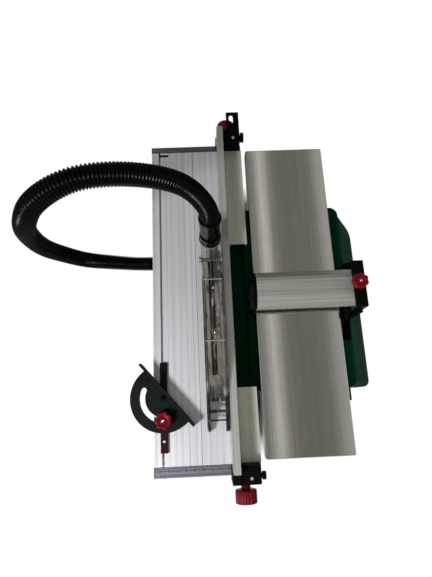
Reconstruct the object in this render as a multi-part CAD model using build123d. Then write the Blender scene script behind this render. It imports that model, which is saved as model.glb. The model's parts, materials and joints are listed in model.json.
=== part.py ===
from build123d import *
import os
from math import cos, sin, pi, radians, tan

# Bench combination machine: a surface planer with a table saw beside it.
# Millimetres. +Z is up, +X runs across the machine from the saw to the planer, +Y runs with the wood.
# The origin is the middle of the foot pattern, on the bench.

# ---- driving dimensions ----
TABLE_TOP = 290.0            # working height of both tables
CLEAR = 0.06                 # radial clearance of a shaft in its hole
SLIDE_GAP = 0.3              # gap beside flat faces that slide past each other

BODY_HALF_X = 272.0          # lower body, half width and half depth
BODY_HALF_Y = 268.0
BODY_CORNER = 45.0
FRONT_CORNER = 18.0          # tighter at the front right, wide at the back right
BACK_CORNER = 92.0
RIM_CORNER = 22.0
BODY_SHEET = 2.0
FOOT_HEIGHT = 20.0
FOOT_SPACING = 440.0
BASE_PLATE = 3.0
WAIST_Z = 90.0               # the sloping sides start here
SAW_DECK_Z = 200.0           # top of the body under the saw table
RIM_Z = 232.0                # top of the body under the planer beds
RIM_RIGHT = 190.0
RIM_BACK = 218.0
PARTITION_X = -76.0
FRAME_THICK = 10.0

BED_LEFT = -60.0             # planer beds
BED_WIDTH = 210.0
BED_FRONT = -425.0
BED_BACK = 375.0
BED_SHEET = 6.0
BED_LIP = 28.0
LIP_THICK = 3.0
CUTTER_Y = -34.0
CUTTER_R = 26.0
KNIFE_REACH = 1.0
JOURNAL_R = 10.0
THROAT = 32.0                # from the cutter axis to the lip of each bed

SAW_LEFT = -316.0            # saw table
SAW_RIGHT = -117.0
STRIP_RIGHT = -71.0
SAW_FRONT = -430.0
SAW_BACK = 376.0
TABLE_THICK = 14.0
SLOT_X = -295.0              # slot for the mitre bar
SLOT_WIDTH = 5.0
RAIL_WIDTH = 26.0
RAIL_HEIGHT = 40.0
RAIL_DROP = 14.0
COLUMN_Y = 318.0
COLUMN_XS = (-240.0, -105.0)
COLUMN_R = 8.0
LIFT_X = -172.0
SCREW_R = 7.0

BLADE_X = -168.0             # saw blade
BLADE_R = 125.0
BLADE_THICK = 2.4
BLADE_TEETH = 40
ARBOR_Y = -105.0
ARBOR_Z = 188.0
ARBOR_R = 8.0
BEARING_R = 16.0
MOTOR_R = 56.0
DRIVE_R = 40.0
DRIVEN_R = 20.0
BELT_THICK = 2.0
PULLEY_X0 = 165.0
PULLEY_X1 = 175.0

FENCE_LEFT = -138.0          # rip fence
FENCE_THICK = 16.0
FENCE_FRONT = -445.0
FENCE_BACK = 410.0
FENCE_FOOT = 294.0
FENCE_HEAD = 355.0
CLAMP_X = -108.0
CLAMP_Z = 262.0

PIVOT_X = -291.0             # mitre gauge
PIVOT_Y = -277.0
MITRE_KNOB_Y = -327.0
MITRE_REST = -49.4
MITRE_LIMIT = 60.0
MITRE_DISC_R = 79.0
MITRE_FACE = 190.0

GUARD_X0 = -191.0            # clear blade guard
GUARD_X1 = -140.0
HINGE_Y = 45.0
HINGE_Z = 345.0

BRIDGE_Y0 = -79.0            # bridge guard over the cutter block
BRIDGE_Y1 = 12.0
BRIDGE_TOP = 350.0
BRIDGE_RIGHT = 195.0
POST_X0 = 182.0
POST_X1 = 197.0
PORTAL_Z = 356.0
BRIDGE_KNOB_X = 178.0
BRIDGE_KNOB_Y = -33.0
LOCK_X = 189.5
LOCK_Z = 270.0
DEPTH_X = 45.0                # screw that sets the planing depth
DEPTH_Y = -320.0

DUCT_X0 = -262.0             # dust ducts
DUCT_X1 = -118.0
OUTLET_X = -173.0
OUTLET_Z = 90.0
OUTLET_R = 50.0
PORT_Y = 99.0
PORT_Z = 165.0
HOSE_R = 20.5

BED_RIGHT = BED_LEFT + BED_WIDTH
CUTTER_BEARING_XS = (BED_LEFT - 12.5, BED_RIGHT + 0.5)
CUTTER_Z = TABLE_TOP - CUTTER_R - KNIFE_REACH
FRAME_TOP = RIM_Z + FRAME_THICK
TABLE_UNDER = TABLE_TOP - TABLE_THICK
BEAM_UNDER = TABLE_UNDER - 14
BED_UNDER = TABLE_TOP - BED_SHEET
RAIL_TOP = TABLE_TOP - RAIL_DROP
PLATE_TOP = FOOT_HEIGHT + BASE_PLATE


# ---- small helpers ----
def block(x0, x1, y0, y1, z0, z1):
    return Pos((x0 + x1) / 2, (y0 + y1) / 2, (z0 + z1) / 2) * Box(x1 - x0, y1 - y0, z1 - z0)


def rod_x(r, x0, x1, y, z):
    return Pos((x0 + x1) / 2, y, z) * Rot(0, 90, 0) * Cylinder(r, x1 - x0)


def rod_y(r, y0, y1, x, z):
    return Pos(x, (y0 + y1) / 2, z) * Rot(90, 0, 0) * Cylinder(r, y1 - y0)


def rod_z(r, z0, z1, x, y):
    return Pos(x, y, (z0 + z1) / 2) * Cylinder(r, z1 - z0)


def body_plan(x0, x1, y0, y1, inset, front_right, back_right):
    """Outline of the body seen from above, with its own rounding at each right-hand corner."""
    plan = Rectangle(x1 - x0 - 2 * inset, y1 - y0 - 2 * inset)
    left = plan.vertices().group_by(Axis.X)[0]
    plan = fillet(left, BODY_CORNER - inset)
    right = plan.vertices().group_by(Axis.X)[-1].sort_by(Axis.Y)
    plan = fillet(right[-1], back_right - inset)
    front = plan.vertices().group_by(Axis.Y)[0].sort_by(Axis.X)[-1]
    plan = fillet(front, max(2, front_right - inset))
    return Pos((x0 + x1) / 2, (y0 + y1) / 2) * plan


def slab(inset, z0, z1):
    """A layer of the lower body, drawn in from the outside by inset."""
    plan = body_plan(-BODY_HALF_X, BODY_HALF_X, -BODY_HALF_Y, BODY_HALF_Y, inset, FRONT_CORNER, BACK_CORNER)
    return Pos(0, 0, z0) * extrude(plan, z1 - z0)


def prism_x(points, x0, x1):
    """A (y, z) outline made solid from x0 to x1."""
    face = make_face(Polyline(*[(0, y, z) for y, z in points], close=True))
    return Pos(x0, 0, 0) * extrude(face, x1 - x0, dir=(1, 0, 0))


def prism_y(points, y0, y1):
    """An (x, z) outline made solid from y0 to y1."""
    face = make_face(Polyline(*[(x, 0, z) for x, z in points], close=True))
    return Pos(0, y0, 0) * extrude(face, y1 - y0, dir=(0, 1, 0))


def slot_z(length, width, z0, z1, x, y, turn=0):
    """A round-ended slot along Y, cut down Z."""
    return Pos(x, y, z0) * Rot(0, 0, 90 + turn) * extrude(SlotOverall(length, width), z1 - z0)


def group(shapes):
    return Compound(children=list(shapes))


def screw_z(r, x, y, z_seat, length, down=True):
    """A button-head screw along Z, its head above the seat, or below it when down is False."""
    way = 1 if down else -1
    head = rod_z(1.8 * r, min(z_seat, z_seat + way * r), max(z_seat, z_seat + way * r), x, y)
    tail = rod_z(r, min(z_seat, z_seat - way * length), max(z_seat, z_seat - way * length), x, y)
    return head + tail


def fluted_knob(r, height, flutes, neck_r, neck, stud_r, stud):
    """A fluted hand knob on +Z, its neck and stud below the origin."""
    knob = Pos(0, 0, neck) * extrude(Circle(r), height)
    knob = chamfer(knob.edges().filter_by(GeomType.CIRCLE).group_by(Axis.Z)[-1], 0.12 * r)
    for k in range(flutes):
        a = 2 * pi * k / flutes
        knob -= Pos(1.05 * r * cos(a), 1.05 * r * sin(a), neck + height / 2) * Cylinder(0.12 * r, 2 * height)
    return knob + rod_z(neck_r, 0, neck, 0, 0) + rod_z(stud_r, -stud, 0, 0, 0)


def lobed_knob(r, height, lobes, neck_r, neck, stud_r, stud):
    """A lobed clamp knob on +Z, its neck and stud below the origin."""
    knob = Pos(0, 0, neck) * extrude(Circle(0.78 * r), height)
    for k in range(lobes):
        a = 2 * pi * k / lobes
        knob += Pos(0.72 * r * cos(a), 0.72 * r * sin(a), neck + height / 2) * Cylinder(0.28 * r, height)
    return knob + rod_z(neck_r, 0, neck, 0, 0) + rod_z(stud_r, -stud, 0, 0, 0)


# ---- body ----
def corners(spacing):
    return [(sx * spacing / 2, sy * spacing / 2) for sx in (-1, 1) for sy in (-1, 1)]


def rubber_feet():
    feet = []
    for x, y in corners(FOOT_SPACING):
        feet.append(rod_z(19, 0, FOOT_HEIGHT, x, y) - rod_z(4.5, 0, FOOT_HEIGHT, x, y))
    return group(feet)


def bottom_plate():
    plate = slab(0, FOOT_HEIGHT, PLATE_TOP)
    for x, y in corners(FOOT_SPACING):
        plate -= rod_z(4.5, FOOT_HEIGHT, PLATE_TOP, x, y)
    for x, y in base_screw_places():
        plate -= rod_z(2.6, FOOT_HEIGHT, PLATE_TOP, x, y)
    return plate


def base_screw_places():
    edge_x = BODY_HALF_X - 8
    edge_y = BODY_HALF_Y - 8
    return [(-edge_x, -90), (-edge_x, 90), (edge_x, -90), (edge_x, 90), (-150, -edge_y), (150, -edge_y),
            (-150, edge_y), (150, edge_y)]


def housing_screws():
    return group([screw_z(2.5, x, y, FOOT_HEIGHT, 7, down=False) for x, y in base_screw_places()])


def tapered_tower(inset, z_floor):
    """The planer side of the body, cut off at the partition: wide at the waist, narrow at the rim."""
    wide = Pos(0, 0, WAIST_Z) * body_plan(
        -BODY_HALF_X, BODY_HALF_X, -BODY_HALF_Y, BODY_HALF_Y, inset, FRONT_CORNER, BACK_CORNER)
    narrow = Pos(0, 0, RIM_Z) * body_plan(
        -BODY_HALF_X, RIM_RIGHT, -BODY_HALF_Y, RIM_BACK, inset, RIM_CORNER, RIM_CORNER)
    tower = loft([wide, narrow], ruled=True)
    return tower & block(PARTITION_X + inset, 400, -400, 400, z_floor, 400)


def base_housing():
    lower = slab(0, PLATE_TOP, WAIST_Z)
    saw_side = slab(0, WAIST_Z, SAW_DECK_Z)
    saw_side &= block(-400, PARTITION_X, -400, 400, 0, 400)
    shell = lower + saw_side + tapered_tower(0, WAIST_Z)
    half_x = BODY_HALF_X - BODY_SHEET
    half_y = BODY_HALF_Y - BODY_SHEET
    hollow = slab(BODY_SHEET, PLATE_TOP + BODY_SHEET, WAIST_Z)
    saw_hollow = slab(BODY_SHEET, WAIST_Z, SAW_DECK_Z - BODY_SHEET)
    saw_hollow &= block(-400, PARTITION_X + BODY_SHEET, -400, 400, 0, 400)
    shell -= hollow + saw_hollow + tapered_tower(BODY_SHEET, WAIST_Z)
    shell -= slab(BODY_SHEET + 14, PLATE_TOP, PLATE_TOP + BODY_SHEET)
    for x, y in base_screw_places():
        shell -= rod_z(2.6, PLATE_TOP, PLATE_TOP + BODY_SHEET, x, y)
    shell -= block(BLADE_X - 22, BLADE_X + 22, -236, 26, SAW_DECK_Z - BODY_SHEET, SAW_DECK_Z)
    shell -= block(-141.3, -128.7, ARBOR_Y - 32.3, ARBOR_Y + 32.3, SAW_DECK_Z - BODY_SHEET, SAW_DECK_Z)
    shell -= rod_y(OUTLET_R + 0.3, half_y - 25, BODY_HALF_Y + 1, OUTLET_X, OUTLET_Z)
    shell -= rod_x(19, -BODY_HALF_X - 1, -half_x + 1, PORT_Y, PORT_Z)
    shell -= block(-48, 138, half_y - 1, BODY_HALF_Y + 1, 47, 84)
    shell -= rod_y(8, half_y - 1, BODY_HALF_Y + 1, 162, 55)
    return shell


def planer_frame():
    """The heavy plate that closes the body's rim and carries the beds, bearings and motor."""
    plate = Pos(0, 0, RIM_Z - WAIST_Z) * block(-400, 400, -400, 400, WAIST_Z, WAIST_Z + FRAME_THICK)
    outline = Pos(0, 0, RIM_Z) * extrude(
        body_plan(-BODY_HALF_X, RIM_RIGHT, -BODY_HALF_Y, RIM_BACK, 0, RIM_CORNER, RIM_CORNER), FRAME_THICK)
    plate &= outline
    plate &= block(PARTITION_X, 400, -400, 400, RIM_Z, FRAME_TOP)
    plate += block(RIM_RIGHT - 30, POST_X1, -104, 39, RIM_Z, FRAME_TOP)
    plate -= block(-40, 142, -172, 140, RIM_Z, FRAME_TOP)
    plate -= block(BED_LEFT + 0.5, BED_RIGHT - 0.5, CUTTER_Y - 31, CUTTER_Y + 31, RIM_Z, FRAME_TOP)
    plate -= block(164, 188, -152, 8, RIM_Z, FRAME_TOP)
    for x, y in bed_leg_places():
        plate += rod_z(14, RIM_Z, FRAME_TOP + 14, x, y)
        plate -= rod_z(COLUMN_R + CLEAR, RIM_Z, FRAME_TOP + 14, x, y)
    arm = block(25, 65, -345, -BODY_HALF_Y, RIM_Z, FRAME_TOP)
    plate += arm
    plate -= rod_z(6 + CLEAR, RIM_Z, FRAME_TOP, DEPTH_X, DEPTH_Y)
    for x in (-46, 128):
        plate += block(x, x + 12, 10, RIM_BACK - 6, FRAME_TOP, BED_UNDER)
    return plate + block(-34, 128, 180, 196, FRAME_TOP, BED_UNDER)


def bed_leg_places():
    return [(x, y) for x in (-22, 122) for y in (-250, -196)]


# ---- planer ----
def bed(y0, y1, end_lip):
    """A bed of folded sheet: a thick plate with lips along both sides and both ends."""
    plate = block(BED_LEFT, BED_RIGHT, y0, y1, TABLE_TOP - BED_LIP, TABLE_TOP)
    uprights = plate.edges().filter_by(Axis.Z)
    plate = fillet(uprights, 5)
    plate = fillet(plate.edges().group_by(Axis.Z)[-1], 2)
    low = TABLE_TOP - BED_LIP
    hollow = block(BED_LEFT + LIP_THICK, BED_RIGHT - LIP_THICK, y0 + LIP_THICK, y1 - LIP_THICK, low, BED_UNDER)
    plate -= hollow
    return plate - block(BED_LEFT - 1, BED_RIGHT + 1, end_lip - 12, end_lip + 12, low, TABLE_TOP - 18)


def infeed_table():
    return bed(BED_FRONT, CUTTER_Y - THROAT, CUTTER_Y - THROAT)


def outfeed_table():
    return bed(CUTTER_Y + THROAT, BED_BACK, CUTTER_Y + THROAT)


def infeed_support():
    """The rib frame under the infeed bed, with its four guide legs and the nut for the depth screw."""
    ribs = block(-40, 140, -400, -90, 268, BED_UNDER) - block(-28, 128, -388, -102, 268, BED_UNDER)
    ribs += block(-28, 128, -335, -305, 268, BED_UNDER)
    for x, y in bed_leg_places():
        ribs += block(x - 14, x + 14, y - 14, y + 14, 268, BED_UNDER)
        ribs += rod_z(COLUMN_R, FRAME_TOP - 6, 268, x, y)
    return ribs - rod_z(6 + CLEAR, 268, BED_UNDER, DEPTH_X, DEPTH_Y)


def depth_knob():
    """The knob under the infeed bed, with its screw through the arm and a collar above the arm."""
    knob = rod_z(20, 200, RIM_Z - 6, DEPTH_X, DEPTH_Y)
    for k in range(18):
        a = 2 * pi * k / 18
        knob -= rod_z(2, 200, RIM_Z - 6, DEPTH_X + 20.5 * cos(a), DEPTH_Y + 20.5 * sin(a))
    knob += rod_z(6, 200, 278, DEPTH_X, DEPTH_Y) + rod_z(10, RIM_Z - 6, RIM_Z - SLIDE_GAP, DEPTH_X, DEPTH_Y)
    return knob + rod_z(10, FRAME_TOP + SLIDE_GAP, FRAME_TOP + 6, DEPTH_X, DEPTH_Y)


def bearing_plates():
    plates = []
    for x0 in CUTTER_BEARING_XS:
        plate = block(x0, x0 + 12, CUTTER_Y - 38, CUTTER_Y + 38, FRAME_TOP, TABLE_TOP - 1)
        plate = fillet(plate.edges().filter_by(Axis.X).group_by(Axis.Z)[-1], 18)
        plates.append(plate - rod_x(BEARING_R, x0, x0 + 12, CUTTER_Y, CUTTER_Z))
    return group(plates)


def bearing(x0, bore, y, z):
    ring = rod_x(BEARING_R, x0, x0 + 10, y, z) - rod_x(bore + CLEAR, x0, x0 + 10, y, z)
    return ring - (rod_x(BEARING_R - 3, x0, x0 + 0.6, y, z) - rod_x(bore + 2, x0, x0 + 0.6, y, z))


def ball_bearings():
    rings = [bearing(x0 + 1, JOURNAL_R, CUTTER_Y, CUTTER_Z) for x0 in CUTTER_BEARING_XS]
    rings += [bearing(x0, ARBOR_R, ARBOR_Y, ARBOR_Z) for x0 in (-140, -40, 125)]
    return group(rings)


def knife_bars(x0, x1, reach):
    """Three radial bars round the cutter axis, from the bottom of the slots out to the given reach."""
    bar = block(x0, x1, -1.5, 1.5, CUTTER_R - 14, CUTTER_R + reach)
    return [Pos(0, CUTTER_Y, CUTTER_Z) * Rot(120 * k, 0, 0) * bar for k in range(3)]


def cutter_block():
    x0 = BED_LEFT + 3
    x1 = BED_RIGHT - 3
    drum = rod_x(CUTTER_R, x0, x1, CUTTER_Y, CUTTER_Z)
    for bar in knife_bars(x0, x1, 5):
        drum -= bar
    for k in range(3):
        gullet = Pos(0, CUTTER_Y, CUTTER_Z) * Rot(120 * k, 0, 0) * block(x0, x1, 1.5, 7, CUTTER_R - 4, CUTTER_R + 5)
        drum -= gullet
    drum += rod_x(JOURNAL_R, BED_LEFT - 12.5, x0, CUTTER_Y, CUTTER_Z)
    return drum + rod_x(JOURNAL_R, x1, PULLEY_X1, CUTTER_Y, CUTTER_Z)


def planer_knives():
    return group(knife_bars(BED_LEFT + 3, BED_RIGHT - 3, KNIFE_REACH))


def pulley(r, bore, y, z):
    rim = rod_x(r, PULLEY_X0, PULLEY_X1, y, z)
    for x in range(5):
        centre = PULLEY_X0 + 1.4 + 1.8 * x
        ring = rod_x(r + 1, centre - 0.5, centre + 0.5, y, z) - rod_x(r - 1, centre - 0.5, centre + 0.5, y, z)
        rim -= ring
    return rim - rod_x(bore, PULLEY_X0, PULLEY_X1, y, z)


def drive_pulley():
    return pulley(DRIVE_R, ARBOR_R, ARBOR_Y, ARBOR_Z)


def cutter_pulley():
    return pulley(DRIVEN_R, JOURNAL_R, CUTTER_Y, CUTTER_Z)


def belt_loop(extra, x0, x1):
    """The area round both pulleys, grown by extra, made solid from x0 to x1."""
    circles = Pos(ARBOR_Y, ARBOR_Z) * Circle(DRIVE_R + extra) + Pos(CUTTER_Y, CUTTER_Z) * Circle(DRIVEN_R + extra)
    outline = make_hull(circles.edges())
    face = Plane(origin=(x0, 0, 0), x_dir=(0, 1, 0), z_dir=(1, 0, 0)) * outline
    return extrude(face, x1 - x0)


def drive_belt():
    x0 = PULLEY_X0 + 1
    x1 = PULLEY_X1 - 1
    return belt_loop(BELT_THICK + SLIDE_GAP, x0, x1) - belt_loop(SLIDE_GAP, x0, x1)


def belt_cover():
    """The cover over the top of the belt, beside the planer bed."""
    outer = [(-110, FRAME_TOP), (-110, 250), (-66, 296), (0, 296), (8, 288), (8, FRAME_TOP)]
    inner = [(-106, FRAME_TOP - 1), (-106, 252), (-64, 292), (-2, 292), (4, 286), (4, FRAME_TOP - 1)]
    return prism_x(outer, 163.5, 180.5) - prism_x(inner, 160, 178.5)


def chip_chute():
    outer = [(-45, 230), (40, 230), (266, 86), (266, 45), (-45, 100)]
    inner = [(-43, 232), (38.5, 232), (267, 84), (267, 47), (-43, 102)]
    return prism_x(outer, -50, 140) - prism_x(inner, -48, 138)


# ---- bridge guard ----
def arch(drop):
    """Half height outline of the bridge profile, lowered and narrowed by drop."""
    top = BRIDGE_TOP - drop
    return [(BRIDGE_Y0 + drop, 312), (BRIDGE_Y0 + drop, 326), (BRIDGE_Y0 + 18, top - 3), (BRIDGE_Y0 + 26, top),
            (BRIDGE_Y1 - 26, top), (BRIDGE_Y1 - 18, top - 3), (BRIDGE_Y1 - drop, 326), (BRIDGE_Y1 - drop, 312)]


def bridge_guard_profile():
    hollow = [(y, z - 1 if z < 313 else z) for y, z in arch(2.5)]
    profile = prism_x(arch(0), BED_LEFT, BRIDGE_RIGHT) - prism_x(hollow, BED_LEFT - 1, BRIDGE_RIGHT + 1)
    for y in (BRIDGE_Y0 + 30, BRIDGE_Y0 + 36, BRIDGE_Y1 - 36, BRIDGE_Y1 - 30):
        profile -= block(BED_LEFT, BRIDGE_RIGHT, y - 0.8, y + 0.8, BRIDGE_TOP - 0.8, BRIDGE_TOP)
    return profile


def bridge_end_plate():
    plate = prism_x(arch(0), BED_LEFT - 4, BED_LEFT)
    for y in (BRIDGE_Y0 + 14, BRIDGE_Y1 - 14):
        plate += rod_x(4, BED_LEFT - 7, BED_LEFT - 4, y, 322)
    return plate


def guard_posts():
    posts = []
    for y0 in (-96, 23):
        post = block(POST_X0, POST_X1, y0, y0 + 6, FRAME_TOP, 322)
        posts.append(post - block(LOCK_X - 3.3, LOCK_X + 3.3, y0, y0 + 6, 264, 316))
    return group(posts)


def guard_portal():
    front = block(POST_X0, POST_X1, -90 + SLIDE_GAP, -84, 262, PORTAL_Z + 8)
    back = block(POST_X0, POST_X1, 17, 23 - SLIDE_GAP, 262, PORTAL_Z + 8)
    beam = block(BRIDGE_RIGHT - 26, POST_X1, -90 + SLIDE_GAP, 23 - SLIDE_GAP, PORTAL_Z, PORTAL_Z + 8)
    portal = front + back + beam
    portal += block(LOCK_X - 3, LOCK_X + 3, -95, -89, LOCK_Z - 3, LOCK_Z + 3)
    portal -= rod_z(4 + CLEAR, PORTAL_Z, PORTAL_Z + 8, BRIDGE_KNOB_X, BRIDGE_KNOB_Y)
    return portal - rod_y(3 + CLEAR, 15, 25, LOCK_X, LOCK_Z)


def bridge_knob():
    knob = lobed_knob(19, 16, 7, 8, 8, 4, 12)
    return Pos(BRIDGE_KNOB_X, BRIDGE_KNOB_Y, PORTAL_Z + 8 + SLIDE_GAP) * knob


def guard_height_knob():
    knob = fluted_knob(12, 12, 12, 6, 3, 3, 11.5)
    return Pos(LOCK_X, 29 + SLIDE_GAP, LOCK_Z) * Rot(-90, 0, 0) * knob


# ---- motor and saw arbor ----
def motor_casing():
    """The finned motor, with the mounting plate that hangs it from the frame."""
    plate = block(-48, -40, -182, -47, 110, RIM_Z)
    plate = fillet(plate.edges().filter_by(Axis.X).group_by(Axis.Z)[0], 20)
    drum = rod_x(MOTOR_R, -40, 135, ARBOR_Y, ARBOR_Z)
    drum = fillet(drum.edges().filter_by(GeomType.CIRCLE).group_by(Axis.X)[-1], 8)
    for k in range(24):
        fin_gap = Rot(360 * k / 24, 0, 0) * Pos(40, MOTOR_R, 0) * Box(120, 8, 3)
        drum -= Pos(0, ARBOR_Y, ARBOR_Z) * fin_gap
    casing = plate + drum
    casing -= rod_x(ARBOR_R + CLEAR, -48, 135, ARBOR_Y, ARBOR_Z)
    for x0 in (-40, 125):
        casing -= rod_x(BEARING_R, x0, x0 + 10, ARBOR_Y, ARBOR_Z)
    return casing


def arbor_bearing_block():
    """The block that holds the blade end of the arbor, bolted up against the deck and standing through it."""
    body = block(-141, -129, ARBOR_Y - 32, ARBOR_Y + 32, 160, SAW_DECK_Z + 12)
    body += block(-141, -129, ARBOR_Y - 50, ARBOR_Y + 50, SAW_DECK_Z - 14, SAW_DECK_Z - BODY_SHEET)
    return body - rod_x(BEARING_R, -141, -129, ARBOR_Y, ARBOR_Z)


def arbor_shaft():
    return rod_x(ARBOR_R, -188, 176.5, ARBOR_Y, ARBOR_Z)


def blade_outline():
    """Points round the toothed rim: a steep face, a short top and a gullet for each tooth."""
    points = []
    pitch = 360 / BLADE_TEETH
    for k in range(BLADE_TEETH):
        for share, r in ((0, BLADE_R - 9), (0.12, BLADE_R), (0.4, BLADE_R - 1.5), (0.72, BLADE_R - 8)):
            a = radians(pitch * (k + share))
            points.append((ARBOR_Y - r * cos(a), ARBOR_Z + r * sin(a)))
    return points


def saw_blade():
    x0 = BLADE_X - BLADE_THICK / 2
    disc = prism_x(blade_outline(), x0, x0 + BLADE_THICK)
    for k in range(4):
        a = radians(90 * k + 45)
        disc -= rod_x(4, x0, x0 + BLADE_THICK, ARBOR_Y + 98 * cos(a), ARBOR_Z + 98 * sin(a))
    return disc - rod_x(ARBOR_R, x0, x0 + BLADE_THICK, ARBOR_Y, ARBOR_Z)


def blade_flanges():
    half = BLADE_THICK / 2
    rings = []
    for x0 in (BLADE_X - half - 5, BLADE_X + half):
        ring = rod_x(28, x0, x0 + 5, ARBOR_Y, ARBOR_Z)
        rings.append(ring - rod_x(ARBOR_R, x0, x0 + 5, ARBOR_Y, ARBOR_Z))
    return group(rings)


def arbor_nut():
    x1 = BLADE_X - BLADE_THICK / 2 - 5
    face = Plane(origin=(x1 - 10, ARBOR_Y, ARBOR_Z), x_dir=(0, 1, 0), z_dir=(1, 0, 0)) * RegularPolygon(12, 6)
    return extrude(face, 10) - rod_x(ARBOR_R, x1 - 10, x1, ARBOR_Y, ARBOR_Z)


def lower_shroud():
    top = SAW_DECK_Z - BODY_SHEET
    shroud = block(-194, -144, -240, 30, 52, top)
    shroud = fillet(shroud.edges().filter_by(Axis.X).group_by(Axis.Z)[0], 60)
    hollow = block(-192, -146, -238, 28, 54, top + 1)
    hollow = fillet(hollow.edges().filter_by(Axis.X).group_by(Axis.Z)[0], 58)
    shroud -= hollow
    shroud -= rod_x(14, -147, -143, ARBOR_Y, ARBOR_Z) & block(-150, -140, -300, 300, 0, top - 2)
    return shroud - block(-190, -148, 27, 31, 114, top - 12)


def riving_knife():
    x0 = BLADE_X - 1.25
    ring = rod_x(BLADE_R + 55, x0, x0 + 2.5, ARBOR_Y, ARBOR_Z) - rod_x(BLADE_R + 6, x0, x0 + 2.5, ARBOR_Y, ARBOR_Z)
    knife = ring & block(x0, x0 + 2.5, -14, 72, SAW_DECK_Z + 2, 372)
    knife = knife + block(x0, x0 + 2.5, 24, 64, 290, 372)
    return knife - rod_x(3.4, x0, x0 + 2.5, HINGE_Y, HINGE_Z)


def riving_knife_clamp():
    jaws = block(BLADE_X - 9, BLADE_X + 9, 30, 76, SAW_DECK_Z, SAW_DECK_Z + 28)
    return jaws - block(BLADE_X - 1.25, BLADE_X + 1.25, 30, 76, SAW_DECK_Z + 2, SAW_DECK_Z + 28)


# ---- blade guard and dust ducts ----
def blade_guard():
    """The clear hood: side walls and a sloping top, a fork with cross bars in front, a spigot behind."""
    outer = [(-290, 294), (-290, 352), (-190, 386), (40, 386), (98, 386), (98, 326), (40, 304), (20, 294)]
    inner = [(-292, 292), (-292, 348), (-190, 383), (40, 383), (95, 383), (95, 325), (42, 304), (18, 292)]
    hood = prism_x(outer, GUARD_X0, GUARD_X1) - prism_x(inner, GUARD_X0 + 3, GUARD_X1 - 3)
    hood -= block(GUARD_X0 + 3, GUARD_X1 - 3, -300, 98, 290, 330)
    fork = [(-357, 296), (-357, 308), (-300, 340), (-282, 344), (-282, 294), (-350, 294)]
    for x0 in (GUARD_X0, GUARD_X1 - 8):
        hood += prism_x(fork, x0, x0 + 8)
    for y, z, r in ((-332, 312, 2), (-312, 320, 3.5)):
        hood += rod_x(r, GUARD_X0 + 4, GUARD_X1 - 4, y, z)
    for y in (-159, -17):
        hood += block(GUARD_X0 + 1, GUARD_X1 - 1, y - 2, y + 2, 384, 389)
    hood += rod_z(20, 384, 436, BLADE_X, 75)
    hood -= rod_z(17.5, 380, 436, BLADE_X, 75)
    return hood - rod_x(5.1, GUARD_X0 - 1, GUARD_X1 + 1, HINGE_Y, HINGE_Z)


def guard_bolt():
    """The bolt through the riving knife that the guard tips about: thick in the guard, thin in the knife."""
    bolt = rod_x(5, GUARD_X0 - 1, BLADE_X - 3, HINGE_Y, HINGE_Z) + rod_x(5, BLADE_X + 3, GUARD_X1 + 1, HINGE_Y, HINGE_Z)
    bolt += rod_x(3.3, BLADE_X - 4, BLADE_X + 4, HINGE_Y, HINGE_Z)
    bolt += rod_x(8, GUARD_X0 - 5, GUARD_X0 - SLIDE_GAP, HINGE_Y, HINGE_Z)
    return bolt + rod_x(8, GUARD_X1 + SLIDE_GAP, GUARD_X1 + 1.8, HINGE_Y, HINGE_Z)


def hose_cuff_upper():
    cuff = rod_z(23, 420, 520, BLADE_X, 78) + rod_z(24, 412, 442, BLADE_X, 75)
    cuff -= rod_z(20, 412, 436, BLADE_X, 75)
    return cuff - rod_z(16.5, 435, 516, BLADE_X, 78)


def hose_cuff_lower():
    cuff = rod_x(23, -306, -BODY_HALF_X - 2, PORT_Y, PORT_Z)
    return cuff - rod_x(18, -298, -BODY_HALF_X - 2, PORT_Y, PORT_Z) - rod_x(15, -303, -297, PORT_Y, PORT_Z)


HOSE_ROUTE = [
    (-168, 78, 520), (-168, 78, 557), (-200, 94, 616), (-243, 88, 672), (-316, 73, 720), (-388, 54, 741),
    (-452, 28, 720), (-494, 25, 648), (-531, 46, 548), (-546, 62, 426), (-536, 84, 316), (-502, 94, 234),
    (-438, 101, 186), (-364, 99, 165), (-306, 99, 165)]


def hose_radii(points):
    """The largest arc that fits each corner: 0.45 of the shorter run over the tangent of half the turn."""
    radii = []
    for before, here, after in zip(points, points[1:], points[2:]):
        run_in = Vector(*here) - Vector(*before)
        run_out = Vector(*after) - Vector(*here)
        half_turn = radians(run_in.get_angle(run_out)) / 2
        radii.append(0.45 * min(run_in.length, run_out.length) / tan(half_turn))
    return radii


def dust_hose():
    radii = hose_radii(HOSE_ROUTE)
    print("hose radii:", [round(r) for r in radii])
    path = FilletPolyline(*HOSE_ROUTE, radius=radii)
    start = Plane(origin=path @ 0, z_dir=path % 0)
    tube = sweep(start * Circle(HOSE_R), path=path)
    expected = pi * HOSE_R ** 2 * path.length
    print("hose length:", round(path.length), "volume over section x length:", round(tube.volume / expected, 4))
    return tube


def dust_manifold():
    """The box behind the blade shroud, with a side spigot for the hose and the main outlet at the back."""
    duct = block(DUCT_X0, DUCT_X1, 30, 180, 36, 190) - block(DUCT_X0 + 2, DUCT_X1 - 2, 32, 178, 38, 188)
    duct -= block(-190, -148, 29, 33, 114, 186)
    duct += rod_y(OUTLET_R - 1.5, 178, BODY_HALF_Y + 2, OUTLET_X, OUTLET_Z)
    duct += rod_y(OUTLET_R, BODY_HALF_Y + 0.5, BODY_HALF_Y + 38, OUTLET_X, OUTLET_Z)
    duct -= rod_y(OUTLET_R - 3.5, 176, BODY_HALF_Y + 38, OUTLET_X, OUTLET_Z)
    duct += rod_x(18, -297, DUCT_X0 + 1, PORT_Y, PORT_Z)
    return duct - rod_x(15.5, -297, DUCT_X0 + 2, PORT_Y, PORT_Z)


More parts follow.
